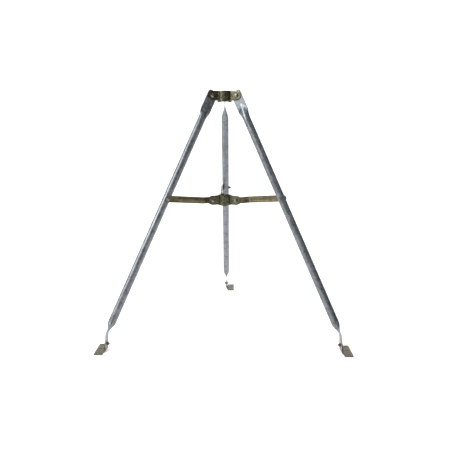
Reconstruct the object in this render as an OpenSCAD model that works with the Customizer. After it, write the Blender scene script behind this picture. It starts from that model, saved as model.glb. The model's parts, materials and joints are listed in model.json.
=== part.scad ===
// Folding steel tripod for a mast: three crimped tube legs hinged on a collar,
// a sliding hub with three ribbed braces, and three pivoting foot brackets.
// Origin: middle of the collar's mast clamp. +Z is up, the rear leg is towards +Y.

/* [Legs] */
// Outside diameter of the leg tube
tube_d = 25.4; // [20:0.1:32]
// Wall of the leg tube
tube_wall = 1.2; // [0.8:0.1:2]
// Collar bolt to the neck of the bottom crimp, along the leg
neck_s = 852; // [600:1:1100]
// Collar bolt to the brace bolt, along the leg
brace_s = 374; // [280:1:460]
// Lean of each leg from upright, in degrees
lean = 27; // [20:0.5:32]
// Width of the flattened tube ends
flat_w = 38; // [30:1:46]
// Metal beyond the bolt at each flattened end
flat_tip = 16; // [12:1:18]
// Corner radius of the flattened ends
flat_corner_r = 9; // [3:1:12]
// Collar bolt to the start of the top crimp
top_flat_s = 26; // [18:1:40]
// Length of the top crimp's taper
crimp_len = 62; // [40:1:90]
// Length of the bottom crimp's taper
low_crimp_len = 42; // [30:1:90]
// Drop from the neck of the bottom crimp to the foot bolt
foot_drop = 30; // [20:1:40]

/* [Collar and hub] */
// Radius of the mast clamp
mast_r = 22.25; // [16:0.25:26]
// Thickness of the stamped plates
plate_t = 2.5; // [2:0.1:4]
// Distance of the collar and hub bolts from the middle
bolt_circle_r = 47.5; // [42:0.5:60]
// Radius of the rounded ears
ear_r = 16; // [12:0.5:20]
// Reach of the clamp wall below the ears
wall_drop = 5; // [0:0.5:8]
// Reach of the bend between an ear and the clamp wall
ear_bend_r = 4; // [1:0.5:6]

/* [Braces] */
// Drop from the brace bolts to the hub's bolts, with the legs spread
hub_drop = 17.5; // [8:0.5:40]
// Width of the brace strap
brace_w = 22; // [16:1:26]
// Thickness of the brace strap
brace_t = 2.5; // [1.5:0.1:4]
// Hub bolt to the start of the sideways step in the strap
step_start = 18; // [16:1:24]
// Length of the sideways step
step_len = 27; // [20:1:40]
// Width of the raised rib
rib_w = 8; // [4:0.5:12]
// Height of the raised rib
rib_h = 1.6; // [0.8:0.1:3]
// Distance between the rib and the outer bolt
rib_end_gap = 32; // [20:1:60]

/* [Feet] */
// Width of a foot plate
foot_w = 32; // [26:1:50]
// Length of a foot plate
foot_l = 85; // [70:1:120]
// Thickness of a foot bracket
foot_t = 2.5; // [2:0.1:4]
// Height of the foot bolt above the ground
foot_bolt_h = 22; // [21:1:28]
// Radius of the top of the foot bracket's ear
foot_ear_r = 12; // [9:0.5:15]
// Width of the ear where it meets the plate
foot_ear_base = 46; // [30:1:60]
// Inside radius of the foot bracket's bend
foot_bend_r = 1.5; // [0.5:0.5:3]
// Radius of the screw holes in the foot plate
screw_hole_r = 3.5; // [2:0.25:5]
// Distance between neighbouring screw holes
screw_pitch = 32; // [20:1:36]
// Distance of the row of screw holes from the foot plate's outer edge
screw_edge = 11; // [8:0.5:16]

/* [Bolts] */
// Diameter of every bolt
bolt_d = 6; // [5:0.5:8]
// Diameter of the domed heads
head_d = 14; // [12:0.5:18]
// Height of the domed heads
head_h = 3.5; // [2:0.1:5]
// Width of the nuts across their flats
nut_af = 10; // [9:0.5:14]
// Thickness of the nuts
nut_h = 5; // [4:0.5:7]
// Thread that stands out of each nut
thread_out = 3; // [1:0.5:6]

/* [Fits] */
// Radial clearance where a part turns on a bolt
turn_fit = 0.08; // [0.04:0.01:0.1]
// Radial clearance where a bolt only passes through
pass_fit = 0.25; // [0.1:0.05:0.5]
// Radial clearance of the nut on its bolt
nut_fit = 0.04; // [0.02:0.01:0.1]
// Gap on each side of a part that turns between ears
side_gap = 0.15; // [0.1:0.05:0.3]
// Gap between a brace and the side of its leg
brace_gap = 0.3; // [0.2:0.05:0.6]

/* [Hidden] */
$fn = 96;
hull_fn = 32;

tube_r = tube_d / 2;
bolt_r = bolt_d / 2;
flat_t = 2 * tube_wall;
crimp_seam = 0.2;
crimp_lap = 1;
nut_seat_gap = 0.05;

top_tube_s = top_flat_s + crimp_len;
low_tube_s = neck_s - low_crimp_len;

// Radial distance and height of the brace bolt, and the hub that closes the triangle
brace_reach = brace_s * sin(lean);
brace_len = sqrt(pow(brace_reach, 2) + pow(hub_drop, 2));
brace_rise = atan(hub_drop / brace_reach);
hub_z = -brace_s * cos(lean) - hub_drop;
brace_y = tube_r + brace_gap + brace_t / 2;

neck_r = bolt_circle_r + neck_s * sin(lean);
neck_z = -neck_s * cos(lean);
foot_bolt_z = neck_z - foot_drop;

collar_half_gap = flat_t / 2 + side_gap;
hub_half_gap = brace_t / 2 + side_gap;
foot_plate_x = flat_t / 2 + side_gap;
screw_x = foot_plate_x + foot_w - screw_edge;

// Azimuth of each leg, and the side (+X or -X) that its foot plate points to
rear_az = 90;
left_az = 210;
right_az = 330;
rear_side = 1;
left_side = -1;
right_side = 1;

tube_colour = "#8b8f92";
zinc_colour = "#6e6a4f";
foot_colour = "#6f6a5c";
bolt_colour = "#9a9a94";

// --- Places -----------------------------------------------------------------

// Collar bolt of the leg at this azimuth: X points outwards, Y along the bolt
module at_collar_bolt(az) {
    rotate([0, 0, az]) translate([bolt_circle_r, 0, 0]) children();
}

// Frame of a leg: -Z runs down the tube from its collar bolt
module along_leg(az) {
    at_collar_bolt(az) rotate([0, -lean, 0]) children();
}

// Hub bolt: X runs out along the brace
module along_brace(az) {
    rotate([0, 0, az]) translate([bolt_circle_r, 0, hub_z])
        rotate([0, -brace_rise, 0]) children();
}

// Foot bolt, with the axes of the whole tripod, and X towards the foot plate
module at_foot_bolt(az, side) {
    translate([neck_r * cos(az), neck_r * sin(az) + foot_drop * strip_slope(az), foot_bolt_z])
        scale_side(side) children();
}

module scale_side(side) {
    if (side < 0) rotate([0, 0, 180]) children();
    else children();
}

// Run along Y for each unit of drop in the flat strip below the neck
function strip_slope(az) = sin(az) * tan(lean);

// --- Bolts and nuts, along +Y from the face that the head or the nut rests on --

// Domed head and shank; the head's underside is at Y = 0 and the shank runs to -Y
module domed_bolt(shank) {
    crown_r = (pow(head_d / 2, 2) + pow(head_h, 2)) / (2 * head_h);
    rotate([-90, 0, 0]) {
        rotate_extrude() intersection() {
            translate([0, head_h - crown_r]) circle(r = crown_r);
            square([head_d / 2, head_h]);
        }
        translate([0, 0, -shank]) cylinder(r = bolt_r, h = shank + head_h / 2);
    }
}

// Hexagon nut from Y = 0 to Y = -nut_h
module hex_nut() {
    rotate([90, 0, 0]) difference() {
        cylinder(d = nut_af / cos(30), h = nut_h, $fn = 6);
        translate([0, 0, -1]) cylinder(r = bolt_r + nut_fit, h = nut_h + 2);
    }
}

// A hole along Y
module cross_hole(r, length) {
    rotate([90, 0, 0]) cylinder(r = r, h = length, center = true);
}

// --- Collar and hub ----------------------------------------------------------

// Everything that lies within the rounded end of the ear at this turn, and above the lower
// edge, which slopes down from the bend to the middle of the clamp wall
module ear_trim(turn) {
    reach = 3 * bolt_circle_r;
    bend_x = mast_r + plate_t + ear_bend_r - bolt_circle_r;
    wall_x = (mast_r + plate_t) / 2 - bolt_circle_r;
    rotate([0, 0, turn]) translate([bolt_circle_r, 0, 0]) rotate([90, 0, 0])
        linear_extrude(2 * reach, center = true) {
            circle(r = ear_r);
            polygon([[0, ear_r], [-reach, ear_r], [-reach, -ear_r - wall_drop],
                     [wall_x, -ear_r - wall_drop], [bend_x, -ear_r], [0, -ear_r]]);
        }
}

// Hole for an ear's bolt
module ear_hole(turn) {
    rotate([0, 0, turn]) translate([bolt_circle_r, 0, 0]) cross_hole(bolt_r + pass_fit, 2 * mast_r);
}

// Clamp wall between two legs, 120 degrees apart, seen from above and open at the leg slots
module wall_section(half_gap) {
    reach = 2 * mast_r;
    intersection() {
        difference() {
            circle(r = mast_r + plate_t);
            circle(r = mast_r);
        }
        rotate(-60) translate([-reach, half_gap]) square([2 * reach, reach]);
        rotate(60) translate([-reach, -half_gap - reach]) square([2 * reach, reach]);
    }
}

// Ear and its bend seen from above, beside the leg slot that runs along X
module ear_section(half_gap) {
    wall_r = mast_r + plate_t / 2;
    ear_y = half_gap + plate_t / 2;
    turn = atan((half_gap + plate_t + ear_bend_r) / wall_r);
    translate([wall_r, half_gap]) square([bolt_circle_r + 2 * ear_r - wall_r, plate_t]);
    polygon([[wall_r * cos(turn), wall_r * sin(turn)], [wall_r, ear_y],
             [wall_r + plate_t + ear_bend_r, ear_y]]);
}

// One of the three stamped plates, centred on this azimuth
module stamped_plate(az, half_gap) {
    color(zinc_colour) rotate([0, 0, az]) difference() {
        intersection() {
            linear_extrude(4 * ear_r, center = true) {
                wall_section(half_gap);
                rotate(-60) ear_section(half_gap);
                rotate(60) mirror([0, 1]) ear_section(half_gap);
            }
            ear_trim(-60);
            ear_trim(60);
        }
        ear_hole(-60);
        ear_hole(60);
    }
}

module ear_bolt(half_gap) {
    face = half_gap + plate_t;
    color(bolt_colour) translate([0, face, 0]) domed_bolt(2 * face + nut_h + thread_out);
}

module ear_nut(half_gap) {
    color(bolt_colour) translate([0, -half_gap - plate_t, 0]) hex_nut();
}

module collar_plate(az) stamped_plate(az, collar_half_gap);
module collar_bolt(az) at_collar_bolt(az) ear_bolt(collar_half_gap);
module collar_nut(az) at_collar_bolt(az) ear_nut(collar_half_gap);
module hub_plate(az) translate([0, 0, hub_z]) stamped_plate(az, hub_half_gap);
module hub_bolt(az) translate([0, 0, hub_z]) at_collar_bolt(az) ear_bolt(hub_half_gap);
module hub_nut(az) translate([0, 0, hub_z]) at_collar_bolt(az) ear_nut(hub_half_gap);

// --- Legs --------------------------------------------------------------------

// Flattened end: bolt at the origin, tip towards +Y
module flat_end(run) {
    corner_x = flat_w / 2 - flat_corner_r;
    translate([-flat_w / 2, -run]) square([flat_w, run + flat_tip - flat_corner_r]);
    translate([-corner_x, flat_tip - 2 * flat_corner_r]) square([2 * corner_x, 2 * flat_corner_r]);
    for (x = [-corner_x, corner_x]) translate([x, flat_tip - flat_corner_r]) circle(r = flat_corner_r);
}

// Frame of the flat strip at the bottom: neck at the origin, -Z down the strip
module along_strip(az) {
    translate([neck_r * cos(az), neck_r * sin(az), neck_z])
        rotate([atan(strip_slope(az)), 0, 0]) children();
}

// Round end of a crimp, which reaches a little way into the tube above or below it
module crimp_ring(inset) {
    cylinder(r = tube_r - inset - crimp_seam, h = crimp_lap, center = true, $fn = hull_fn);
}

// Flat end of a crimp, which reaches a little way into the flattened end
module crimp_slab(inset) {
    cube([flat_w - 2 * inset - 2 * crimp_seam, flat_t - 1.6 * inset - crimp_seam, crimp_lap], center = true);
}

// Taper from the flattened top to the round tube, shrunk by a wall for its inside
module top_crimp(inset) {
    hull() {
        translate([0, 0, -top_flat_s - inset]) crimp_slab(inset);
        translate([0, 0, -top_tube_s]) crimp_ring(inset);
    }
}

// Taper from the round tube to the flat strip, whose face turns towards the X axis
module low_crimp(az, inset) {
    hull() {
        along_leg(az) translate([0, 0, -low_tube_s]) crimp_ring(inset);
        along_strip(az) translate([0, 0, inset]) rotate([0, 0, 90]) crimp_slab(inset);
    }
}

module leg(az) {
    strip_len = foot_drop / cos(atan(strip_slope(az)));
    color(tube_colour) difference() {
        union() {
            along_leg(az) {
                rotate([90, 0, 0]) linear_extrude(flat_t, center = true) flat_end(top_flat_s);
                top_crimp(0);
                translate([0, 0, -low_tube_s]) cylinder(r = tube_r, h = low_tube_s - top_tube_s);
            }
            low_crimp(az, 0);
            along_strip(az) translate([0, 0, -strip_len]) rotate([90, 0, 90])
                linear_extrude(flat_t, center = true) mirror([0, 1]) flat_end(strip_len);
        }
        along_leg(az) {
            cross_hole(bolt_r + turn_fit, 2 * tube_d);
            top_crimp(tube_wall);
            translate([0, 0, -low_tube_s]) cylinder(r = tube_r - tube_wall, h = low_tube_s - top_tube_s);
            translate([0, 0, -brace_s]) cross_hole(bolt_r + pass_fit, 2 * tube_d);
        }
        low_crimp(az, tube_wall);
        along_strip(az) translate([0, 0, -strip_len]) rotate([0, 0, 90])
            cross_hole(bolt_r + turn_fit, 2 * tube_d);
    }
}

// --- Braces ------------------------------------------------------------------

// Strap seen from above: it steps sideways to pass beside the leg tube
module strap_section() {
    back = brace_w;
    step_end = step_start + step_len;
    half = brace_t / 2;
    far = brace_len + brace_w;
    polygon([[-back, -half], [step_start, -half], [step_end, brace_y - half], [far, brace_y - half],
             [far, brace_y + half], [step_end, brace_y + half], [step_start, half], [-back, half]]);
}

// Strap seen along its bolts
module strap_outline() {
    circle(d = brace_w);
    translate([brace_len, 0]) circle(d = brace_w);
    translate([0, -brace_w / 2]) square([brace_len, brace_w]);
}

module brace(az) {
    rib_start = step_start + step_len + rib_w;
    rib_end = brace_len - rib_end_gap;
    color(zinc_colour) along_brace(az) difference() {
        union() {
            intersection() {
                linear_extrude(2 * brace_w, center = true) strap_section();
                rotate([90, 0, 0]) linear_extrude(4 * brace_y, center = true) strap_outline();
            }
            translate([0, brace_y, 0]) rotate([-90, 0, 0]) linear_extrude(brace_t / 2 + rib_h) {
                translate([rib_start, -rib_w / 2]) square([rib_end - rib_start, rib_w]);
                for (x = [rib_start, rib_end]) translate([x, 0]) circle(d = rib_w);
            }
        }
        cross_hole(bolt_r + turn_fit, 2 * brace_w);
        translate([brace_len, brace_y, 0]) cross_hole(bolt_r + turn_fit, brace_w);
    }
}

// Domed head that turns with the brace, on a short neck through the strap
module brace_head(az) {
    color(bolt_colour) along_brace(az) translate([brace_len, brace_y + brace_t / 2, 0])
        domed_bolt(brace_t - side_gap / 2);
}

// Shank that stays in the leg tube, and its nut
module brace_bolt(az) {
    start = tube_r + side_gap / 2;
    color(bolt_colour) along_leg(az) translate([0, start, -brace_s]) rotate([90, 0, 0])
        cylinder(r = bolt_r, h = start + tube_r + nut_h + thread_out);
}

module brace_nut(az) {
    color(bolt_colour) along_leg(az) translate([0, -tube_r - nut_seat_gap, -brace_s]) hex_nut();
}

// --- Feet --------------------------------------------------------------------

// Bend and plate seen from the side: the ear's inner face is at X = 0
module foot_section() {
    outer = foot_bend_r + foot_t;
    translate([outer, 0]) square([foot_w - outer, foot_t]);
    translate([0, outer]) square([foot_t, foot_bend_r]);
    intersection() {
        difference() {
            translate([outer, outer]) circle(r = outer);
            translate([outer, outer]) circle(r = foot_bend_r);
        }
        square([outer, outer]);
    }
}

// Ear seen along its bolt, from the bend up to its rounded top
module foot_ear_outline() {
    drop = foot_bolt_h - foot_bend_r - foot_t;
    shoulder = sqrt(3) / 2 * foot_ear_r;
    circle(r = foot_ear_r);
    polygon([[-foot_ear_base / 2, -drop], [foot_ear_base / 2, -drop], [shoulder, foot_ear_r / 2],
             [-shoulder, foot_ear_r / 2]]);
}

module foot_bracket(az, side) {
    end_l = (foot_l - foot_ear_base) / 2;
    color(foot_colour) at_foot_bolt(az, side) difference() {
        union() {
            translate([foot_plate_x, 0, -foot_bolt_h]) {
                rotate([90, 0, 0]) linear_extrude(foot_ear_base, center = true) foot_section();
                for (s = [-1, 1])
                    translate([foot_w / 2, s * (foot_ear_base + end_l) / 2, foot_t / 2])
                        cube([foot_w, end_l, foot_t], center = true);
            }
            translate([foot_plate_x, 0, 0]) rotate([90, 0, 90]) linear_extrude(foot_t) foot_ear_outline();
        }
        rotate([0, 0, 90]) cross_hole(bolt_r + pass_fit, 4 * foot_bolt_h);
        for (k = [-1, 0, 1]) translate([screw_x, k * screw_pitch, -foot_bolt_h - foot_t])
            cylinder(r = screw_hole_r, h = 3 * foot_t);
    }
}

module foot_bolt(az, side) {
    face = foot_plate_x + foot_t;
    color(bolt_colour) at_foot_bolt(az, side) rotate([0, 0, -90]) translate([0, face, 0])
        domed_bolt(face + foot_plate_x + nut_h + thread_out);
}

module foot_nut(az, side) {
    color(bolt_colour) at_foot_bolt(az, side) rotate([0, 0, -90]) translate([0, -foot_plate_x, 0])
        hex_nut();
}

// --- The tripod --------------------------------------------------------------

collar_plate(270);  // collar_plate_front
collar_plate(150);  // collar_plate_left
collar_plate(30);  // collar_plate_right
collar_bolt(rear_az);  // collar_bolt_rear
collar_bolt(left_az);  // collar_bolt_left
collar_bolt(right_az);  // collar_bolt_right
collar_nut(rear_az);  // collar_nut_rear
collar_nut(left_az);  // collar_nut_left
collar_nut(right_az);  // collar_nut_right
leg(rear_az);  // leg_rear
leg(left_az);  // leg_left
leg(right_az);  // leg_right
hub_plate(270);  // hub_plate_front
hub_plate(150);  // hub_plate_left
hub_plate(30);  // hub_plate_right
hub_bolt(rear_az);  // hub_bolt_rear
hub_bolt(left_az);  // hub_bolt_left
hub_bolt(right_az);  // hub_bolt_right
hub_nut(rear_az);  // hub_nut_rear
hub_nut(left_az);  // hub_nut_left
hub_nut(right_az);  // hub_nut_right
brace(rear_az);  // brace_rear
brace(left_az);  // brace_left
brace(right_az);  // brace_right
brace_head(rear_az);  // brace_head_rear
brace_head(left_az);  // brace_head_left
brace_head(right_az);  // brace_head_right
brace_bolt(rear_az);  // brace_bolt_rear
brace_bolt(left_az);  // brace_bolt_left
brace_bolt(right_az);  // brace_bolt_right
brace_nut(rear_az);  // brace_nut_rear
brace_nut(left_az);  // brace_nut_left
brace_nut(right_az);  // brace_nut_right
foot_bracket(rear_az, rear_side);  // foot_bracket_rear
foot_bracket(left_az, left_side);  // foot_bracket_left
foot_bracket(right_az, right_side);  // foot_bracket_right
foot_bolt(rear_az, rear_side);  // foot_bolt_rear
foot_bolt(left_az, left_side);  // foot_bolt_left
foot_bolt(right_az, right_side);  // foot_bolt_right
foot_nut(rear_az, rear_side);  // foot_nut_rear
foot_nut(left_az, left_side);  // foot_nut_left
foot_nut(right_az, right_side);  // foot_nut_right
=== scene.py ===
"""Folding mast tripod: crimped tube legs, clamp collar, sliding hub, ribbed braces and hinged feet."""

import json
import math

import bpy
from bpy.props import FloatProperty, FloatVectorProperty, IntProperty, PointerProperty, StringProperty
from mathutils import Matrix, Vector


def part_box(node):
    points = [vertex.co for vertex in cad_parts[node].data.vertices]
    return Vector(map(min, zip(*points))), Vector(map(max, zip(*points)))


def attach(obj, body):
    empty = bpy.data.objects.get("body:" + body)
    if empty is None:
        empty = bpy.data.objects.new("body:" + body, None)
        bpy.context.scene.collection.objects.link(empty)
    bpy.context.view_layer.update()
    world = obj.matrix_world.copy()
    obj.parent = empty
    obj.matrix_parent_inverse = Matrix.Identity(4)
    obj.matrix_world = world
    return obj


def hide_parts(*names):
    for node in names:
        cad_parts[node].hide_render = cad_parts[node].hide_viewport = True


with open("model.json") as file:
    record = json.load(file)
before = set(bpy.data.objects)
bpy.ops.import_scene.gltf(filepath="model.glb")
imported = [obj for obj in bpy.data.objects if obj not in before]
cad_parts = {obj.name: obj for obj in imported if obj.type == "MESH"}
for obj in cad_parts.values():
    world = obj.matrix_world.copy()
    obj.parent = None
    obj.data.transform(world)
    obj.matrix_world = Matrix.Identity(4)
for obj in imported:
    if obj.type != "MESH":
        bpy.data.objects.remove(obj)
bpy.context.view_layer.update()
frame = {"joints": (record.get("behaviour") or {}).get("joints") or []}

bl_info = {
    "name": "Folding mast tripod",
    "version": (1, 0, 0),
    "blender": (4, 5, 0),
    "location": "View3D > Sidebar > Tripod",
    "description": "Builds a folding steel tripod for a mast around its packed frame",
    "category": "Add Mesh",
}

MM = 0.001
# A rounded end stops this short of its tip, so that its last row still has some width
BLUNT = 0.05 * MM
LEGS = ("rear", "left", "right")
SIDES = ("front", "left", "right")
PLATE_TURN = {"front": 270.0, "left": 150.0, "right": 30.0}
JOINTS = {joint["name"]: joint for joint in frame["joints"]}
X_AXIS = Vector((1.0, 0.0, 0.0))
Z_AXIS = Vector((0.0, 0.0, 1.0))


# --- Places, worked out from the frame --------------------------------------


def joint_place(name):
    """Position and unit axis of a joint."""
    joint = JOINTS[name]
    return Vector(joint["pos_m"]), Vector(joint["axis"]).normalized()


def box_middle(node):
    """Middle of a CAD node's box."""
    low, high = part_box(node)
    return (Vector(low) + Vector(high)) / 2


def drop_along(vector, axis):
    """The vector without its part along a unit axis."""
    return vector - axis * vector.dot(axis)


class LegLine:
    """The line of one leg: collar bolt, brace bolt, neck of the bottom crimp and foot bolt."""

    def __init__(self, name, sizes):
        self.name = name
        self.bend = sizes.neck_bend
        self.collar_bolt, self.across = joint_place(f"leg_{name}_fold")
        self.foot_bolt = joint_place(f"foot_{name}_tilt")[0]
        run = drop_along(box_middle(f"brace_bolt_{name}") - self.collar_bolt, self.across)
        self.down = run.normalized()
        self.brace_s = run.length
        self.crossing = self.collar_bolt + self.down * self.brace_s
        neck_z = self.foot_bolt.z + sizes.foot_drop
        self.neck_s = (neck_z - self.collar_bolt.z) / self.down.z
        self.neck = self.collar_bolt + self.down * self.neck_s
        strip = self.foot_bolt - self.neck
        self.strip_down = strip.normalized()
        self.strip_length = strip.length
        foot_side = drop_along(X_AXIS, self.down).normalized()
        if foot_side.dot(self.across) <= 0:
            foot_side = -foot_side
        self.twist = self.across.angle(foot_side)
        if self.across.cross(foot_side).dot(self.down) < 0:
            self.twist = -self.twist

    def axis_point(self, s):
        """Point on the middle line and the direction of travel at a distance from the collar bolt."""
        offset = s - self.neck_s
        if offset <= -self.bend:
            return self.collar_bolt + self.down * s, self.down
        if offset >= self.bend:
            return self.neck + self.strip_down * offset, self.strip_down
        share = (offset + self.bend) / (2 * self.bend)
        start = self.neck - self.down * self.bend
        end = self.neck + self.strip_down * self.bend
        point = start.lerp(self.neck, share).lerp(self.neck.lerp(end, share), share)
        return point, self.down.lerp(self.strip_down, share).normalized()


def smooth(low, high, value):
    """Smooth step from 0 at low to 1 at high."""
    share = min(1.0, max(0.0, (value - low) / (high - low)))
    return share * share * (3.0 - 2.0 * share)


def round_end(reach, radius):
    """Half width lost at a distance of reach past the start of a rounded corner or end."""
    reach = min(max(reach, 0.0), radius)
    return radius - math.sqrt(radius * radius - reach * reach)


def spread(low, high, count):
    """Evenly spaced values, with both ends."""
    return [low + (high - low) * i / (count - 1) for i in range(count)]


def crowded(low, high, count):
    """Values that lie closer together towards the high end, for a rounded end."""
    return [low + (high - low) * math.sin(math.pi / 2 * i / (count - 1)) for i in range(count)]


# --- Modelling --------------------------------------------------------------


def deselect():
    bpy.ops.object.select_all(action="DESELECT")


def only(obj):
    """Makes this object the only selected one and the active one."""
    deselect()
    obj.select_set(True)
    bpy.context.view_layer.objects.active = obj


def named(name):
    """Names the active object and its mesh."""
    obj = bpy.context.object
    obj.name = name
    obj.data.name = name
    return obj


def apply_modifier(obj, kind, **settings):
    """Adds a modifier with its settings and applies it."""
    modifier = obj.modifiers.new(kind.title(), kind)
    for key, value in settings.items():
        setattr(modifier, key, value)
    only(obj)
    bpy.ops.object.modifier_apply(modifier=modifier.name)


def tidy_mesh(obj, doubles=0.01 * MM, close_ends=False):
    """Merges doubles, closes open ends where asked and turns every face outwards."""
    only(obj)
    bpy.ops.object.mode_set(mode="EDIT")
    bpy.ops.mesh.select_all(action="SELECT")
    bpy.ops.mesh.remove_doubles(threshold=doubles)
    if close_ends:
        bpy.ops.mesh.fill_holes(sides=0)
    bpy.ops.mesh.normals_make_consistent(inside=False)
    bpy.ops.object.mode_set(mode="OBJECT")


def break_edges(obj, width, segments=2, angle=50.0):
    """Rounds every edge that is sharper than an angle; one segment gives a chamfer."""
    apply_modifier(
        obj,
        "BEVEL",
        width=width,
        segments=segments,
        limit_method="ANGLE",
        angle_limit=math.radians(angle),
    )


def shade(obj, angle):
    """Shades an object smooth, with edges past an angle kept sharp."""
    only(obj)
    bpy.ops.object.shade_smooth_by_angle(angle=math.radians(angle))


def formed_sheet(name, rows, columns, place):
    """A flat grid pressed into shape: place(row, column) gives the point of each crossing."""
    deselect()
    bpy.ops.mesh.primitive_grid_add(x_subdivisions=len(rows) - 1, y_subdivisions=len(columns) - 1, size=2)
    obj = named(name)
    for vertex in obj.data.vertices:
        row = round((vertex.co.x + 1) / 2 * (len(rows) - 1))
        column = round((vertex.co.y + 1) / 2 * (len(columns) - 1))
        vertex.co = place(rows[row], columns[column])
    return obj


def give_wall(obj, thickness):
    """Gives a formed sheet its thickness, half to each side."""
    tidy_mesh(obj)
    apply_modifier(obj, "SOLIDIFY", thickness=thickness, offset=0.0, use_even_offset=True)


def turned_bar(name, sides, radius, height, middle):
    """A bar of round or hexagon stock along Z, with its place in its mesh."""
    deselect()
    bpy.ops.mesh.primitive_cylinder_add(vertices=sides, radius=radius, depth=height, location=middle)
    bpy.ops.object.transform_apply(location=True, rotation=True, scale=True)
    return named(name)


def set_down(obj, origin, direction):
    """Puts an object modelled on Z at an origin, with its Z along a direction, in its mesh."""
    turn = Z_AXIS.rotation_difference(direction).to_matrix().to_4x4()
    obj.data.transform(Matrix.Translation(origin) @ turn)


def copy_of(pattern, name):
    """A copy of a pattern piece with a mesh of its own."""
    obj = pattern.copy()
    obj.data = pattern.data.copy()
    obj.name = name
    obj.data.name = name
    bpy.context.collection.objects.link(obj)
    return obj


def joined(name, *parts):
    """Joins parts into one object."""
    only(parts[0])
    for part in parts:
        part.select_set(True)
    bpy.ops.object.join()
    return named(name)


def remove(*patterns):
    for pattern in patterns:
        bpy.data.objects.remove(pattern)


def place_piece(obj, body, slot_name, node):
    """Gives a finished piece the finish named by its slot and its body, and hides the node it stands for."""
    obj.data.materials.clear()
    obj.data.materials.append(finish_for(slot_name))
    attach(obj, body)
    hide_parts(node)


# --- Materials --------------------------------------------------------------


def linear(hex_colour):
    """sRGB hex to linear RGBA."""
    parts = [int(hex_colour.lstrip("#")[i : i + 2], 16) / 255 for i in (0, 2, 4)]
    return [p / 12.92 if p <= 0.04045 else ((p + 0.055) / 1.055) ** 2.4 for p in parts] + [1.0]


def add_node(tree, kind, settings=None, inputs=None):
    """Adds a node, sets its properties and its inputs; an input that is a socket is linked."""
    new = tree.nodes.new(kind)
    for key, value in (settings or {}).items():
        setattr(new, key, value)
    for key, value in (inputs or {}).items():
        if isinstance(value, bpy.types.NodeSocket):
            tree.links.new(value, new.inputs[key])
        else:
            new.inputs[key].default_value = value
    return new


def lay_colours(tree, colour, layers):
    """Lays colours over a first one, each where its pattern is strong.

    A layer is its pattern, the values at which it starts and is full, the most it covers, and its colour.
    """
    for pattern, start, full, cover, layer_colour in layers:
        share = add_node(
            tree,
            "ShaderNodeMapRange",
            {"interpolation_type": "SMOOTHSTEP"},
            {"Value": pattern, "From Min": start, "From Max": full, "To Max": cover},
        )
        mix = add_node(
            tree,
            "ShaderNodeMix",
            {"data_type": "RGBA"},
            {0: share.outputs["Result"], 6: colour, 7: layer_colour},
        )
        colour = mix.outputs[2]
    return colour


def plated_steel(name, colours, crystal_mm, spangle, blotch_mm, grain_mm, roughness, metallic):
    """Plated steel: crystals or a mottled film, larger blotches, dirt in patches and bright edges, which are
    partly wear and partly a painted highlight.

    The colours are the film, its blotches, its bright crystals and bright edges (partly wear, partly painted
    highlight), and its dirt.
    """
    film_colour, blotch, bright, dirt = (linear(colour) for colour in colours)
    material = bpy.data.materials.new(name)
    material.use_nodes = True
    tree = material.node_tree
    shader = tree.nodes["Principled BSDF"]
    place = add_node(tree, "ShaderNodeTexCoord").outputs["Object"]
    crystals = add_node(
        tree,
        "ShaderNodeTexVoronoi",
        {"feature": "SMOOTH_F1"},
        {"Vector": place, "Scale": 1.0 / (crystal_mm * MM), "Smoothness": 0.25},
    )
    facets = add_node(tree, "ShaderNodeSeparateColor", None, {"Color": crystals.outputs["Color"]})
    facet = facets.outputs["Red"]
    clouds = ((blotch_mm, 3.0, 0.55), (grain_mm, 2.0, 0.55), (3 * blotch_mm, 5.0, 0.65))
    film, grain, patches = (
        add_node(
            tree,
            "ShaderNodeTexNoise",
            None,
            {"Vector": place, "Scale": 1.0 / (size_mm * MM), "Detail": detail, "Roughness": unevenness},
        ).outputs["Fac"]
        for size_mm, detail, unevenness in clouds
    )
    edge = add_node(tree, "ShaderNodeNewGeometry").outputs["Pointiness"]
    layers = (
        (film, 0.36, 0.64, 1.0, blotch),
        (facet, 0.1, 0.9, spangle, bright),
        (patches, 0.56, 0.72, 0.75, dirt),
        # Convex edges take the bright colour: partly wear, partly a painted highlight where edges catch the
        # light
        (edge, 0.53, 0.62, 0.6, bright),
    )
    tree.links.new(lay_colours(tree, film_colour, layers), shader.inputs["Base Color"])
    shader.inputs["Metallic"].default_value = metallic
    # Crystals that lie differently are also a little duller or shinier
    sheen = add_node(
        tree,
        "ShaderNodeMapRange",
        {"interpolation_type": "SMOOTHSTEP"},
        {"Value": facet, "To Min": roughness - 0.07, "To Max": roughness + 0.09},
    )
    tree.links.new(sheen.outputs["Result"], shader.inputs["Roughness"])
    crystal_relief = add_node(
        tree, "ShaderNodeBump", None, {"Strength": 0.5 * spangle, "Distance": 0.05 * MM, "Height": facet}
    )
    relief = add_node(
        tree,
        "ShaderNodeBump",
        None,
        {
            "Strength": 0.35,
            "Distance": 0.04 * MM,
            "Height": grain,
            "Normal": crystal_relief.outputs["Normal"],
        },
    )
    tree.links.new(relief.outputs["Normal"], shader.inputs["Normal"])
    return material


def galvanised_tube(look):
    """Hot-dip galvanised tube: grey spangle a few millimetres wide, dull and slightly blue."""
    colours = (look.tube, look.tube_blotch, look.tube_bright, look.tube_dirt)
    return plated_steel(
        "galvanised_tube", colours, crystal_mm=5.0, spangle=0.4, blotch_mm=26.0, grain_mm=0.9,
        roughness=0.40, metallic=0.9,
    )


def olive_chromated_stamping(look):
    """Yellow-olive chromate on zinc: a cloudy film, with pale metal at bends and edges, partly worn through
    and partly a painted highlight.
    """
    colours = (look.stamping, look.stamping_blotch, look.stamping_bright, look.stamping_dirt)
    return plated_steel(
        "olive_chromated_stamping", colours, crystal_mm=3.0, spangle=0.12, blotch_mm=15.0, grain_mm=0.8,
        roughness=0.28, metallic=0.9,
    )


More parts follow.
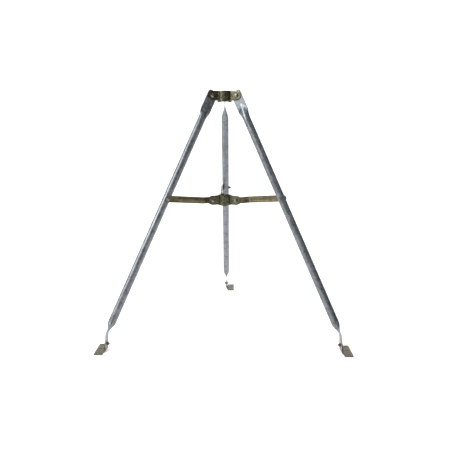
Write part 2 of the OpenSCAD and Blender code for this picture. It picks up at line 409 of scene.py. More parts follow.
def chromated_strap(look):
    """The same chromate on rolled strap, browner and duller."""
    colours = (look.strap, look.strap_blotch, look.strap_bright, look.strap_dirt)
    return plated_steel(
        "chromated_strap", colours, crystal_mm=3.5, spangle=0.15, blotch_mm=16.0, grain_mm=0.8,
        roughness=0.36, metallic=0.85,
    )


def weathered_foot_plate(look):
    """Dull chromated plate with dirt and a brown tint of rust."""
    colours = (look.foot, look.foot_blotch, look.foot_bright, look.foot_dirt)
    return plated_steel(
        "weathered_foot_plate", colours, crystal_mm=3.0, spangle=0.15, blotch_mm=12.0, grain_mm=0.8,
        roughness=0.46, metallic=0.75,
    )


def zinc_fastener(look):
    """Bright zinc on rolled bolts and nuts, with a finer crystal than on the larger pieces."""
    colours = (look.fastener, look.fastener_blotch, look.fastener_bright, look.fastener_dirt)
    return plated_steel(
        "zinc_fastener", colours, crystal_mm=1.6, spangle=0.15, blotch_mm=5.0, grain_mm=0.5,
        roughness=0.30, metallic=0.95,
    )


FINISHES = {
    "tube": galvanised_tube,
    "stamping": olive_chromated_stamping,
    "strap": chromated_strap,
    "foot": weathered_foot_plate,
    "fastener": zinc_fastener,
}
finishes_made = {}


def finish_for(slot_name):
    """The material of a record slot, made once."""
    if slot_name not in finishes_made:
        finishes_made[slot_name] = FINISHES[slot_name](bpy.context.scene.tripod_finishes)
    return finishes_made[slot_name]


# --- Sizes and colours ------------------------------------------------------


def hex_colour(title, value):
    return StringProperty(name=title, description=f"{title}, as sRGB hex", default=value)


class TripodFinishes(bpy.types.PropertyGroup):
    # The spangle and highlight colours brighten crystals and also paint a highlight on convex edges
    tube: hex_colour("Tube", "#777b80")
    tube_blotch: hex_colour("Tube blotches", "#63676c")
    tube_bright: hex_colour("Tube spangle and edge highlight", "#9da1a6")
    tube_dirt: hex_colour("Tube dirt", "#66645f")
    stamping: hex_colour("Stamping", "#5b583f")
    stamping_blotch: hex_colour("Stamping blotches", "#3d3f2c")
    stamping_bright: hex_colour("Stamping highlights", "#bcbeab")
    stamping_dirt: hex_colour("Stamping dirt", "#54442f")
    strap: hex_colour("Strap", "#6a6349")
    strap_blotch: hex_colour("Strap blotches", "#524c36")
    strap_bright: hex_colour("Strap highlights", "#a39c88")
    strap_dirt: hex_colour("Strap dirt", "#4c4030")
    foot: hex_colour("Foot plate", "#645d4d")
    foot_blotch: hex_colour("Foot plate blotches", "#50493a")
    foot_bright: hex_colour("Foot plate highlights", "#8c8473")
    foot_dirt: hex_colour("Foot plate rust", "#4a3725")
    fastener: hex_colour("Fastener", "#86847a")
    fastener_blotch: hex_colour("Fastener blotches", "#67655a")
    fastener_bright: hex_colour("Fastener highlights", "#b9b9ae")
    fastener_dirt: hex_colour("Fastener dirt", "#54493a")
    floor: hex_colour("Floor", "#f4f4f2")


def length(title, value_mm, text):
    return FloatProperty(name=title, description=text, default=value_mm * MM, unit="LENGTH", precision=4)


class LegSizes(bpy.types.PropertyGroup):
    tube_d: length("Tube diameter", 25.4, "Outside diameter of the leg tube")
    flat_w: length("Flat width", 38.0, "Width of a flattened end")
    flat_t: length("Flat thickness", 2.4, "Two pressed walls")
    flat_tip: length("Flat tip", 16.0, "Metal beyond the bolt at a flattened end")
    corner_r: length("Corner radius", 9.0, "Corner radius of the flattened ends")
    top_flat: length("Top flat", 26.0, "Collar bolt to the start of the top crimp")
    crimp: length("Top crimp", 62.0, "Length of the top crimp's taper")
    low_crimp: length("Bottom crimp", 42.0, "Length of the bottom crimp's taper")
    foot_drop: length("Foot drop", 30.0, "Drop from the neck to the foot bolt")
    neck_bend: length("Neck bend", 7.0, "Half length of the bend at the neck")
    dimple: length("Dimple", 0.9, "Depth of the dents under the brace bolt")
    dimple_r: length("Dimple radius", 9.0, "Reach of each dent along the tube")
    around: IntProperty(name="Facets", description="Points around the tube", default=56)


class PlateSizes(bpy.types.PropertyGroup):
    mast_r: length("Clamp radius", 22.25, "Radius of the mast clamp")
    plate_t: length("Plate thickness", 2.5, "Thickness of the stamped plates")
    ear_r: length("Ear radius", 16.0, "Radius of the rounded ears")
    wall_drop: length("Wall drop", 5.0, "Reach of the clamp wall below the ears")
    bend_r: length("Bend radius", 4.5, "Radius of the bend beside an ear, at mid thickness")
    side_gap: length("Side gap", 0.15, "Gap on each side of a part that turns between ears")
    edge_r: length("Edge radius", 0.45, "Rounding of the sheared edges")


class BraceSizes(bpy.types.PropertyGroup):
    width: length("Strap width", 22.0, "Width of the brace strap")
    thickness: length("Strap thickness", 2.5, "Thickness of the brace strap")
    step_start: length("Step start", 18.0, "Hub bolt to the start of the sideways step")
    step: length("Step length", 27.0, "Length of the sideways step")
    rib_h: length("Rib height", 1.9, "Height of the pressed rib")
    rib_w: length("Rib width", 11.0, "Width of the pressed rib")
    rib_start: length("Rib start", 26.0, "Hub bolt to the start of the rib")
    rib_gap: length("Rib gap", 30.0, "End of the rib to the outer bolt")
    rib_run: length("Rib run-out", 14.0, "Length over which the rib rises at each end")
    tube_gap: length("Tube gap", 0.3, "Gap between a brace and the side of its leg")
    edge_r: length("Edge radius", 0.4, "Rounding of the rolled edges")


class FootSizes(bpy.types.PropertyGroup):
    thickness: length("Bracket thickness", 2.5, "Thickness of the foot bracket")
    bend_r: length("Bend radius", 2.75, "Radius of the bend at mid thickness")
    ear_r: length("Ear radius", 12.0, "Radius of the top of the ear")
    ear_base: length("Ear base", 46.0, "Width of the ear at the bend")
    hole_r: length("Screw hole radius", 3.5, "Radius of the screw holes")
    pitch: length("Screw pitch", 32.0, "Distance between neighbouring screw holes")
    hole_edge: length("Hole to edge", 11.0, "Row of screw holes to the outer edge")
    corner_r: length("Corner radius", 2.5, "Corner radius of the plate")
    edge_r: length("Edge radius", 0.4, "Rounding of the sheared edges")


class BoltSizes(bpy.types.PropertyGroup):
    shank_r: length("Shank radius", 3.0, "Radius of every bolt")
    head_r: length("Head radius", 7.0, "Radius of the domed heads")
    head_h: length("Head height", 3.5, "Height of the domed heads")
    head_edge: length("Head edge", 0.35, "Rounding of a head's rim")
    nut_af: length("Nut width", 10.0, "Width of the nuts across their flats")
    nut_h: length("Nut thickness", 5.0, "Thickness of the nuts")
    nut_chamfer: length("Nut chamfer", 0.75, "Turned chamfer on the corners of the nuts")
    nut_edge: length("Nut edge", 0.12, "Rounding of the other edges of the nuts")
    thread_out: length("Thread out", 3.0, "Thread that stands out of each nut")
    pitch: length("Thread pitch", 1.0, "Distance between the crests of the thread")


class StageSizes(bpy.types.PropertyGroup):
    camera: FloatVectorProperty(
        name="Camera", description="Place of the camera", default=(0.0335, -1.7975, -0.1059), unit="LENGTH"
    )
    yaw: FloatProperty(name="Yaw", description="Turn of the camera towards +X, in degrees", default=-1.02)
    pitch: FloatProperty(name="Pitch", description="Camera's look downwards, in degrees", default=10.57)
    floor_glow: FloatProperty(
        name="Floor glow", description="Light that the white sweep gives off of itself", default=0.35
    )
    focal: FloatProperty(name="Focal length", description="In mm, on a 36 mm sensor", default=41.6)


# --- Legs -------------------------------------------------------------------


def leg_rows(line, sizes):
    """Distances along a leg, closer together at the crimps and the rounded tips."""
    end = line.neck_s + line.strip_length
    tip_start = sizes.flat_tip - sizes.corner_r
    top_tube = sizes.top_flat + sizes.crimp
    low_tube = line.neck_s - sizes.low_crimp
    stretches = (
        (0.0, sizes.top_flat - 4 * MM, 4),
        (sizes.top_flat - 2 * MM, top_tube, 30),
        (top_tube + 6 * MM, line.brace_s - 24 * MM, 24),
        (line.brace_s - 20 * MM, line.brace_s + 20 * MM, 19),
        (line.brace_s + 24 * MM, low_tube - 6 * MM, 36),
        (low_tube, line.neck_s - 8 * MM, 28),
        (line.neck_s - 6 * MM, line.neck_s + 8 * MM, 8),
        (line.neck_s + 11 * MM, end, 4),
    )
    rows = [-s for s in reversed(crowded(tip_start, sizes.flat_tip, 7))]
    for low, high, count in stretches:
        rows += spread(low, high, count)
    return rows + crowded(end + tip_start, end + sizes.flat_tip, 7)


def leg_point(line, sizes, s, turn):
    """Point of the tube's skin at a distance along the leg and a turn around it, from 0 to 1.

    Each point is a blend of its place on the flat strip and its place on the round tube.
    """
    radius = sizes.tube_d / 2
    end = line.neck_s + line.strip_length
    past_tip = max(-s, s - end) - (sizes.flat_tip - sizes.corner_r)
    half_w = sizes.flat_w / 2 - round_end(past_tip, sizes.corner_r)
    half_t = sizes.flat_t / 2
    angle = 2 * math.pi * turn
    upper = 1.0 if turn <= 0.5 else -1.0
    share = 4 * turn - 1 if turn <= 0.5 else 3 - 4 * turn
    flat_x = -half_w * share
    rim = max(0.0, abs(flat_x) - (half_w - half_t))
    flat_y = upper * math.sqrt(max(0.0, half_t * half_t - rim * rim))
    # From the flat towards the tube, the middle rounds out first and the edges follow
    lag = 0.42 * abs(share) ** 1.5
    top = smooth(sizes.top_flat + lag * sizes.crimp, sizes.top_flat + sizes.crimp, s)
    low = smooth(line.neck_s - lag * sizes.low_crimp, line.neck_s - sizes.low_crimp, s)
    roundness = min(top, low)
    x = flat_x + (radius * math.cos(angle) - flat_x) * roundness
    y = flat_y + (radius * math.sin(angle) - flat_y) * roundness
    middle, along = line.axis_point(s)
    top_tube = sizes.top_flat + sizes.crimp
    turned = smooth(top_tube, line.neck_s - sizes.low_crimp, s) * line.twist
    thin = Matrix.Rotation(turned, 3, line.down) @ line.across
    thin = drop_along(thin, along).normalized()
    wide = along.cross(thin)
    point = middle + wide * x + thin * y
    side = (point - line.collar_bolt).dot(line.across)
    dent = sizes.dimple * math.exp(-(((s - line.brace_s) / sizes.dimple_r) ** 2))
    limit = radius - dent
    if abs(side) > limit and roundness > 0.99:
        point -= line.across * (side - math.copysign(limit, side))
    return point


class TRIPOD_OT_legs(bpy.types.Operator):
    """Form the three crimped tube legs"""

    bl_idname = "tripod.legs"
    bl_label = "Legs"
    bl_options = {"REGISTER", "UNDO"}

    def execute(self, context):
        sizes = context.scene.tripod_legs
        for name in LEGS:
            line = LegLine(name, sizes)
            rows = leg_rows(line, sizes)
            turns = spread(0.0, 1.0, sizes.around + 1)
            leg = formed_sheet(f"tube_leg_{name}", rows, turns, lambda s, q: leg_point(line, sizes, s, q))
            tidy_mesh(leg, close_ends=True)
            shade(leg, 40.0)
            place_piece(leg, f"leg_{name}", "tube", f"leg_{name}")
        return {"FINISHED"}


# --- Collar and hub plates ---------------------------------------------------


class PlatePath:
    """Half of a stamped plate's middle line seen from above, from its centre out to one ear."""

    def __init__(self, sizes, half_gap, bolt_reach):
        self.wall_r = sizes.mast_r + sizes.plate_t / 2
        self.bend_r = sizes.bend_r
        self.ear_y = half_gap + sizes.plate_t / 2
        centre_y = self.ear_y + self.bend_r
        self.centre_x = math.sqrt((self.wall_r + self.bend_r) ** 2 - centre_y**2)
        self.lean = math.atan2(centre_y, self.centre_x)
        self.wall_end = self.wall_r * (math.pi / 3 - self.lean)
        self.bend_end = self.wall_end + self.bend_r * (math.pi / 2 - self.lean)
        self.bolt = self.bend_end + bolt_reach - self.centre_x
        self.end = self.bolt + sizes.ear_r
        self.wall_drop = sizes.wall_drop

    def drop(self, p):
        """Reach of the lower edge below the ears, deepest in the middle of the clamp wall."""
        point = Matrix.Rotation(-math.pi / 3, 3, "Z") @ self.point(p)
        deep_x, flat_x = self.wall_r / 2, self.centre_x + self.bend_r / 3
        return self.wall_drop * min(1.0, max(0.0, (flat_x - point.x) / (flat_x - deep_x)))

    def point(self, p):
        """Point at a distance from the plate's centre; the ear lies along 60 degrees."""
        if p <= self.wall_end:
            turn = p / self.wall_r
            return Vector((self.wall_r * math.cos(turn), self.wall_r * math.sin(turn), 0.0))
        if p <= self.bend_end:
            angle = math.pi - self.lean - (p - self.wall_end) / self.bend_r
            x = self.centre_x + self.bend_r * math.cos(angle)
            y = -self.ear_y - self.bend_r + self.bend_r * math.sin(angle)
        else:
            x = self.centre_x + p - self.bend_end
            y = -self.ear_y
        return Matrix.Rotation(math.pi / 3, 3, "Z") @ Vector((x, y, 0.0))


def stamped_plate(name, sizes, path, turn, height):
    """One stamped plate: clamp wall, two bends and two rounded ears."""
    half = spread(0.0, path.wall_end, 12)[1:]
    half += spread(path.wall_end, path.bend_end, 7)[1:]
    half += spread(path.bend_end, path.bolt, 6)[1:]
    half += crowded(path.bolt, path.end - BLUNT, 14)[1:]
    stations = [-p for p in reversed(half)] + [0.0] + half
    spin = Matrix.Rotation(math.radians(turn), 3, "Z")

    def place(p, level):
        point = path.point(abs(p))
        if p < 0:
            point.y = -point.y
        half_height = sizes.ear_r - round_end(abs(p) - path.bolt, sizes.ear_r)
        if level < 0.0:
            half_height += path.drop(abs(p))
        return spin @ point + Z_AXIS * (height + level * half_height)

    plate = formed_sheet(name, stations, spread(-1.0, 1.0, 9), place)
    give_wall(plate, sizes.plate_t)
    break_edges(plate, sizes.edge_r)
    tidy_mesh(plate)
    shade(plate, 30.0)
    return plate


class TRIPOD_OT_plates(bpy.types.Operator):
    """Form the stamped plates of the collar and the hub"""

    bl_idname = "tripod.plates"
    bl_label = "Collar and hub plates"
    bl_options = {"REGISTER", "UNDO"}

    def execute(self, context):
        scene = context.scene
        sizes = scene.tripod_plates
        collar_bolt = joint_place("leg_rear_fold")[0]
        hub_bolt = joint_place("brace_rear_swing")[0]
        gaps = {"collar": scene.tripod_legs.flat_t, "hub": scene.tripod_braces.thickness}
        for body, bolt in (("collar", collar_bolt), ("hub", hub_bolt)):
            half_gap = gaps[body] / 2 + sizes.side_gap
            path = PlatePath(sizes, half_gap, bolt.xy.length)
            for side in SIDES:
                plate = stamped_plate(f"{body}_stamping_{side}", sizes, path, PLATE_TURN[side], bolt.z)
                place_piece(plate, body, "stamping", f"{body}_plate_{side}")
        return {"FINISHED"}


# --- Braces -----------------------------------------------------------------


def brace_strap(name, sizes, line, tube_r):
    """One brace: a flat strap with round ends, a sideways step and a pressed rib."""
    hub_bolt = joint_place(f"brace_{line.name}_swing")[0]
    reach = line.crossing - hub_bolt
    along = drop_along(reach, line.across).normalized()
    across = line.across
    up = across.cross(along)
    span = drop_along(reach, across).length
    half_w = sizes.width / 2
    offset = tube_r + sizes.tube_gap + sizes.thickness / 2
    end_reach = half_w - BLUNT
    stations = [-x for x in reversed(crowded(0.0, end_reach, 13))][:-1]
    stations += spread(0.0, sizes.step_start - 2 * MM, 4)
    stations += spread(sizes.step_start, sizes.step_start + sizes.step, 16)
    stations += spread(sizes.step_start + sizes.step + 3 * MM, span - 3 * MM, 46)
    stations += crowded(span, span + end_reach, 13)
    rib_end = span - sizes.rib_gap

    def place(x, level):
        width = half_w - round_end(max(-x, x - span), half_w)
        w = level * width
        side = offset * smooth(sizes.step_start, sizes.step_start + sizes.step, x)
        in_rib = smooth(sizes.rib_start, sizes.rib_start + sizes.rib_run, x)
        in_rib *= 1.0 - smooth(rib_end - sizes.rib_run, rib_end, x)
        rib = sizes.rib_h * in_rib * (1.0 - smooth(0.24 * sizes.rib_w, 0.5 * sizes.rib_w, abs(w)))
        return hub_bolt + along * x + across * (side + rib) + up * w

    strap = formed_sheet(name, stations, spread(-1.0, 1.0, 25), place)
    give_wall(strap, sizes.thickness)
    break_edges(strap, sizes.edge_r)
    tidy_mesh(strap)
    shade(strap, 30.0)
    return strap


class TRIPOD_OT_braces(bpy.types.Operator):
    """Form the three ribbed braces"""

    bl_idname = "tripod.braces"
    bl_label = "Braces"
    bl_options = {"REGISTER", "UNDO"}

    def execute(self, context):
        legs = context.scene.tripod_legs
        for name in LEGS:
            line = LegLine(name, legs)
            strap = brace_strap(f"ribbed_brace_{name}", context.scene.tripod_braces, line, legs.tube_d / 2)
            place_piece(strap, f"brace_{name}", "strap", f"brace_{name}")
        return {"FINISHED"}


# --- Feet -------------------------------------------------------------------


class FootPath:
    """A foot bracket's middle line: from the top of its ear down, round the bend and out along the plate."""

    def __init__(self, sizes, leg_name):
        self.sizes = sizes
        self.low, self.high = (Vector(corner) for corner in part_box(f"foot_bracket_{leg_name}"))
        self.bolt = joint_place(f"foot_{leg_name}_tilt")[0]
        self.side = 1.0 if (self.low.x + self.high.x) / 2 > self.bolt.x else -1.0
        self.inner = self.low.x if self.side > 0 else self.high.x
        self.mid = sizes.thickness / 2
        self.bend_top = self.low.z + self.mid + sizes.bend_r
        self.ear_top = self.bolt.z + sizes.ear_r
        self.shoulder = self.bolt.z + sizes.ear_r / 2
        self.ear_end = self.ear_top - self.bend_top
        self.bend_end = self.ear_end + sizes.bend_r * math.pi / 2
        self.end = self.bend_end + (self.high.x - self.low.x - self.mid - sizes.bend_r)

    def stations(self):
        """Distances along the line, closer together at the ear's round top and the plate's corners."""
        corner = self.end - self.sizes.corner_r
        top = crowded(self.shoulder, self.ear_top - BLUNT, 11)
        rows = [self.ear_top - z for z in reversed(top)]
        rows += spread(self.ear_top - self.shoulder, self.ear_end, 7)[1:]
        rows += spread(self.ear_end, self.bend_end, 7)[1:]
        rows += [self.bend_end + 0.25 * MM]
        rows += spread(self.bend_end + 1.5 * MM, corner, 12)
        return rows + crowded(corner, self.end - 0.02 * MM, 6)[1:]

    def half_width(self, p):
        """Half of the bracket's width at a distance along the line."""
        sizes = self.sizes
        z = self.ear_top - p
        if z > self.shoulder:
            return math.sqrt(max(0.0, sizes.ear_r**2 - (z - self.bolt.z) ** 2))
        if p <= self.ear_end:
            top_half = math.sqrt(sizes.ear_r**2 - (self.shoulder - self.bolt.z) ** 2)
            share = (self.shoulder - z) / (self.shoulder - self.bend_top)
            return top_half + (sizes.ear_base / 2 - top_half) * share
        if p <= self.bend_end:
            return sizes.ear_base / 2
        half_plate = (self.high.y - self.low.y) / 2
        return half_plate - round_end(p - (self.end - sizes.corner_r), sizes.corner_r)

    def point(self, p, level):
        """Point at a distance along the line and a share of the half width, from -1 to 1."""
        bend_r = self.sizes.bend_r
        y = self.bolt.y + level * self.half_width(p)
        if p <= self.ear_end:
            return Vector((self.inner + self.side * self.mid, y, self.ear_top - p))
        turn = min(p - self.ear_end, self.bend_end - self.ear_end) / bend_r
        x = self.mid + bend_r * (1 - math.cos(turn)) + max(0.0, p - self.bend_end)
        return Vector((self.inner + self.side * x, y, self.bend_top - bend_r * math.sin(turn)))


def drill_row(bracket, sizes, path):
    """Drills the row of three screw holes along the outer edge of a bracket's plate."""
    row_x = path.inner + path.side * (path.high.x - path.low.x - sizes.hole_edge)
    for step in (-1, 0, 1):
        middle = (row_x, path.bolt.y + step * sizes.pitch, path.low.z + path.mid)
        drill = turned_bar("drill", 40, sizes.hole_r, 4 * sizes.thickness, middle)
        apply_modifier(bracket, "BOOLEAN", operation="DIFFERENCE", solver="EXACT", object=drill)
        remove(drill)


def foot_bracket(name, sizes, leg_name):
    """One foot bracket: an ear bent up from a plate with a row of screw holes."""
    path = FootPath(sizes, leg_name)
    bracket = formed_sheet(name, path.stations(), spread(-1.0, 1.0, 25), path.point)
    give_wall(bracket, sizes.thickness)
    drill_row(bracket, sizes, path)
    break_edges(bracket, sizes.edge_r)
    tidy_mesh(bracket, 0.002 * MM)
    shade(bracket, 30.0)
    return bracket


class TRIPOD_OT_feet(bpy.types.Operator):
    """Form the three foot brackets"""

    bl_idname = "tripod.feet"
    bl_label = "Foot brackets"
    bl_options = {"REGISTER", "UNDO"}

    def execute(self, context):
        for name in LEGS:
            bracket = foot_bracket(f"foot_plate_{name}", context.scene.tripod_feet, name)
            place_piece(bracket, f"foot_{name}", "foot", f"foot_bracket_{name}")
        return {"FINISHED"}


# --- Bolts and nuts ---------------------------------------------------------


def domed_head(sizes):
    """Pattern of the domed head, with its underside at Z = 0."""
    crown_r = (sizes.head_r**2 + sizes.head_h**2) / (2 * sizes.head_h)
    deselect()
    bpy.ops.mesh.primitive_uv_sphere_add(
        segments=40, ring_count=40, radius=crown_r, location=(0, 0, sizes.head_h - crown_r)
    )
    head = named("domed_head")
    bpy.ops.object.transform_apply(location=True, rotation=True, scale=True)
    bpy.ops.object.mode_set(mode="EDIT")
    bpy.ops.mesh.select_all(action="SELECT")
    bpy.ops.mesh.bisect(plane_co=(0, 0, 0), plane_no=(0, 0, 1), use_fill=True, clear_inner=True)
    bpy.ops.object.mode_set(mode="OBJECT")
    break_edges(head, sizes.head_edge, segments=3, angle=25.0)
    tidy_mesh(head, 0.001 * MM)
    shade(head, 32.0)
    return head


def threaded_shank(sizes, reach):
    """Pattern of a shank from Z = 0 down, with crests of thread on its last stretch and a chamfered end."""
    root, end_chamfer = 0.86, 0.96
    deselect()
    bpy.ops.mesh.primitive_circle_add(vertices=28, radius=sizes.shank_r, fill_type="NGON")
    shank = named("threaded_shank")
    turns = round(min(reach, 2 * sizes.thread_out) / sizes.pitch)
    level = turns * sizes.pitch - reach
    bpy.ops.object.mode_set(mode="EDIT")
    bpy.ops.mesh.select_all(action="SELECT")
    bpy.ops.mesh.extrude_region_move(TRANSFORM_OT_translate={"value": (0, 0, level)})
    factors = [root, 1 / root] * turns
    factors[-1] = end_chamfer
    for factor in factors:
        level -= sizes.pitch / 2
        bpy.ops.mesh.extrude_region_move(TRANSFORM_OT_translate={"value": (0, 0, -sizes.pitch / 2)})
        bpy.ops.transform.resize(value=(factor, factor, 1.0), center_override=(0, 0, level))
    bpy.ops.object.mode_set(mode="OBJECT")
    tidy_mesh(shank)
    shade(shank, 32.0)
    return shank


def hex_nut(sizes):
    """Pattern of the chamfered hexagon nut, from Z = 0 down."""
    corner_r = sizes.nut_af / math.sqrt(3)
    middle = (0, 0, -sizes.nut_h / 2)
    nut = turned_bar("hex_nut", 6, corner_r, sizes.nut_h, middle)
    turning = turned_bar("turning", 48, corner_r, sizes.nut_h, middle)
    break_edges(turning, sizes.nut_chamfer, segments=1)
    apply_modifier(nut, "BOOLEAN", operation="INTERSECT", solver="EXACT", object=turning)
    remove(turning)
    break_edges(nut, sizes.nut_edge, angle=25.0)
    shade(nut, 20.0)
    return nut


def fit(name, body, node, seat, direction, *patterns):
    """Copies patterns to a seat as one piece of a body, with their Z along a direction."""
    copies = [copy_of(pattern, name) for pattern in patterns]
    piece = joined(name, *copies) if len(copies) > 1 else copies[0]
    set_down(piece, seat, direction)
    place_piece(piece, body, "fastener", node)


class TRIPOD_OT_fasteners(bpy.types.Operator):
    """Fit every bolt and nut"""

    bl_idname = "tripod.fasteners"
    bl_label = "Bolts and nuts"
    bl_options = {"REGISTER", "UNDO"}

    def execute(self, context):
        scene = context.scene
        bolts = scene.tripod_bolts
        plates = scene.tripod_plates
        legs = scene.tripod_legs
        braces = scene.tripod_braces
        tube_r = legs.tube_d / 2
        beyond = bolts.nut_h + bolts.thread_out
        # Faces that heads and nuts bear on, from the middle of the part that each bolt holds
        collar_face = legs.flat_t / 2 + plates.side_gap + plates.plate_t
        hub_face = braces.thickness / 2 + plates.side_gap + plates.plate_t
        brace_head_face = tube_r + braces.tube_gap + braces.thickness
        brace_shank_face = tube_r - legs.dimple / 2
        nut_sink = 0.7 * legs.dimple
        brace_nut_face = tube_r - nut_sink
        foot_inner_face = legs.flat_t / 2 + plates.side_gap
        foot_outer_face = foot_inner_face + scene.tripod_feet.thickness
        head = domed_head(bolts)
        nut = hex_nut(bolts)
        collar_shank = threaded_shank(bolts, 2 * collar_face + beyond)
        hub_shank = threaded_shank(bolts, 2 * hub_face + beyond)
        brace_shank = threaded_shank(bolts, brace_shank_face + tube_r + beyond)
        foot_shank = threaded_shank(bolts, foot_inner_face + foot_outer_face + beyond)
        for name in LEGS:
            line = LegLine(name, legs)
            across = line.across
            hub_bolt = joint_place(f"brace_{name}_swing")[0]
            clamps = (
                ("collar", line.collar_bolt, collar_face, collar_shank),
                ("hub", hub_bolt, hub_face, hub_shank),
            )
            for body, middle, face, shank in clamps:
                fit(f"{body}_carriage_bolt_{name}", body, f"{body}_bolt_{name}",
                    middle + across * face, across, head, shank)
                fit(f"{body}_hex_nut_{name}", body, f"{body}_nut_{name}",
                    middle - across * face, across, nut)
            fit(f"brace_domed_head_{name}", f"brace_{name}", f"brace_head_{name}",
                line.crossing + across * brace_head_face, across, head)
            fit(f"brace_shank_{name}", f"leg_{name}", f"brace_bolt_{name}",
                line.crossing + across * brace_shank_face, across, brace_shank)
            fit(f"brace_hex_nut_{name}", f"leg_{name}", f"brace_nut_{name}",
                line.crossing - across * brace_nut_face, across, nut)
            plate_side = box_middle(f"foot_bracket_{name}").x - line.foot_bolt.x
            outwards = X_AXIS if plate_side > 0 else -X_AXIS
            fit(f"foot_carriage_bolt_{name}", f"foot_{name}", f"foot_bolt_{name}",
                line.foot_bolt + outwards * foot_outer_face, outwards, head, foot_shank)
            fit(f"foot_hex_nut_{name}", f"foot_{name}", f"foot_nut_{name}",
                line.foot_bolt - outwards * foot_inner_face, outwards, nut)
        remove(head, nut, collar_shank, hub_shank, brace_shank, foot_shank)
        return {"FINISHED"}


# --- Stage ------------------------------------------------------------------


def soft_light(name, place, target, size, watts):
    """A round soft light at a place, turned to a target."""
    deselect()
    bpy.ops.object.light_add(type="AREA", location=place)
    light = bpy.context.object
    light.name = name
    light.data.shape = "DISK"
    light.data.size = size
    light.data.energy = watts
    light.rotation_euler = (Vector(target) - Vector(place)).to_track_quat("-Z", "Y").to_euler()


def white_sweep(name, ground):
    """A wide sheet of paper: flat on the ground, curved up behind and then upright."""
    half_width, reach, radius, height = 12.0, 3.2, 2.0, 6.0
    curve_end = reach + radius * math.pi / 2
    rows = spread(-half_width, reach, 6) + spread(reach, curve_end, 16)[1:] + [curve_end + height]

    def place(p, x):
        if p <= reach:
            return Vector((x, p, ground))
        turn = min((p - reach) / radius, math.pi / 2)
        rise = max(0.0, p - curve_end)
        return Vector((x, reach + radius * math.sin(turn), ground + radius * (1 - math.cos(turn)) + rise))

    floor = formed_sheet(name, rows, spread(-half_width, half_width, 3), place)
    shade(floor, 60.0)
    return floor


def white_paper(colour, glow):
    """Matt white studio paper, which glows a little so that it stays white between the lights."""
    paper = bpy.data.materials.new("white_studio_paper")
    paper.use_nodes = True
    shader = paper.node_tree.nodes["Principled BSDF"]
    shader.inputs["Base Color"].default_value = linear(colour)
    shader.inputs["Roughness"].default_value = 0.9
    shader.inputs["Emission Color"].default_value = linear("#ffffff")
    shader.inputs["Emission Strength"].default_value = glow
    return paper


def studio_room():
    """The room that the metal reflects: bright to the left, dark to the right and pale above."""
    room = bpy.data.worlds.new("studio")
    room.use_nodes = True
    tree = room.node_tree
    background = tree.nodes["Background"]
    direction = add_node(tree, "ShaderNodeTexCoord").outputs["Generated"]
    axes = add_node(tree, "ShaderNodeSeparateXYZ", None, {"Vector": direction}).outputs
    seen = add_node(tree, "ShaderNodeLightPath").outputs["Is Camera Ray"]
    # The camera itself sees the room as plain white: 1.6 at a strength of 0.7 is past full white
    plain_white = [1.6, 1.6, 1.6, 1.0]
    layers = (
        (axes["X"], -0.7, 0.75, 1.0, linear("#262524")),
        (axes["Z"], 0.15, 0.9, 1.0, linear("#c3c6ca")),
        (seen, 0.0, 1.0, 1.0, plain_white),
    )
    tree.links.new(lay_colours(tree, linear("#f1f3f5"), layers), background.inputs["Color"])
    background.inputs["Strength"].default_value = 0.7
    return room


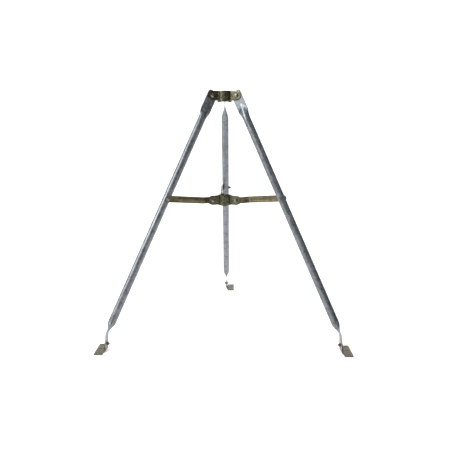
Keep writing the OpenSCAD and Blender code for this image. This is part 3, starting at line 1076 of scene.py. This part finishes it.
class TRIPOD_OT_stage(bpy.types.Operator):
    """Set the floor, the lights and the camera"""

    bl_idname = "tripod.stage"
    bl_label = "Stage"
    bl_options = {"REGISTER", "UNDO"}

    def execute(self, context):
        scene = context.scene
        sizes = scene.tripod_stage
        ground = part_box("foot_bracket_rear")[0][2]
        floor = white_sweep("studio_sweep", ground)
        floor.data.materials.append(white_paper(scene.tripod_finishes.floor, sizes.floor_glow))
        scene.world = studio_room()

        middle = (0.0, 0.0, ground / 2)
        soft_light("key_light", (-2.6, -1.6, 1.2), middle, 1.8, 75.0)
        soft_light("fill_light", (2.4, -2.6, 1.4), middle, 1.0, 5.0)
        soft_light("top_light", (-0.4, 0.8, 2.6), middle, 2.4, 40.0)
        soft_light("sweep_light", (0.0, 1.6, 2.6), (0.0, 4.2, 0.4), 2.6, 110.0)

        deselect()
        bpy.ops.object.camera_add(location=sizes.camera)
        camera = context.object
        camera.name = "camera"
        camera.data.sensor_width = 36.0
        camera.data.lens = sizes.focal
        camera.data.clip_start = 0.01
        camera.rotation_euler = (math.radians(90.0 - sizes.pitch), 0.0, math.radians(-sizes.yaw))
        scene.camera = camera
        scene.view_settings.view_transform = "Standard"
        return {"FINISHED"}


# --- Sidebar and registration -----------------------------------------------


class TRIPOD_PT_panel(bpy.types.Panel):
    """One button for each group of pieces, and every size and colour"""

    bl_label = "Folding mast tripod"
    bl_idname = "TRIPOD_PT_panel"
    bl_space_type = "VIEW_3D"
    bl_region_type = "UI"
    bl_category = "Tripod"

    def draw(self, context):
        for operator in OPERATORS:
            self.layout.operator(operator.bl_idname)
        for attribute in GROUPS:
            group = getattr(context.scene, attribute)
            box = self.layout.box()
            for key in group.__annotations__:
                box.prop(group, key)


GROUPS = {
    "tripod_legs": LegSizes,
    "tripod_plates": PlateSizes,
    "tripod_braces": BraceSizes,
    "tripod_feet": FootSizes,
    "tripod_bolts": BoltSizes,
    "tripod_stage": StageSizes,
    "tripod_finishes": TripodFinishes,
}
OPERATORS = (
    TRIPOD_OT_stage,
    TRIPOD_OT_legs,
    TRIPOD_OT_plates,
    TRIPOD_OT_braces,
    TRIPOD_OT_feet,
    TRIPOD_OT_fasteners,
)


def register():
    for attribute, group in GROUPS.items():
        bpy.utils.register_class(group)
        setattr(bpy.types.Scene, attribute, PointerProperty(type=group))
    for operator in OPERATORS:
        bpy.utils.register_class(operator)
    bpy.utils.register_class(TRIPOD_PT_panel)


def unregister():
    bpy.utils.unregister_class(TRIPOD_PT_panel)
    for operator in reversed(OPERATORS):
        bpy.utils.unregister_class(operator)
    for attribute, group in GROUPS.items():
        delattr(bpy.types.Scene, attribute)
        bpy.utils.unregister_class(group)


def main():
    register()
    bpy.ops.tripod.stage()
    bpy.ops.tripod.legs()
    bpy.ops.tripod.plates()
    bpy.ops.tripod.braces()
    bpy.ops.tripod.feet()
    bpy.ops.tripod.fasteners()
    bpy.context.view_layer.update()


if __name__ == "__main__":
    main()
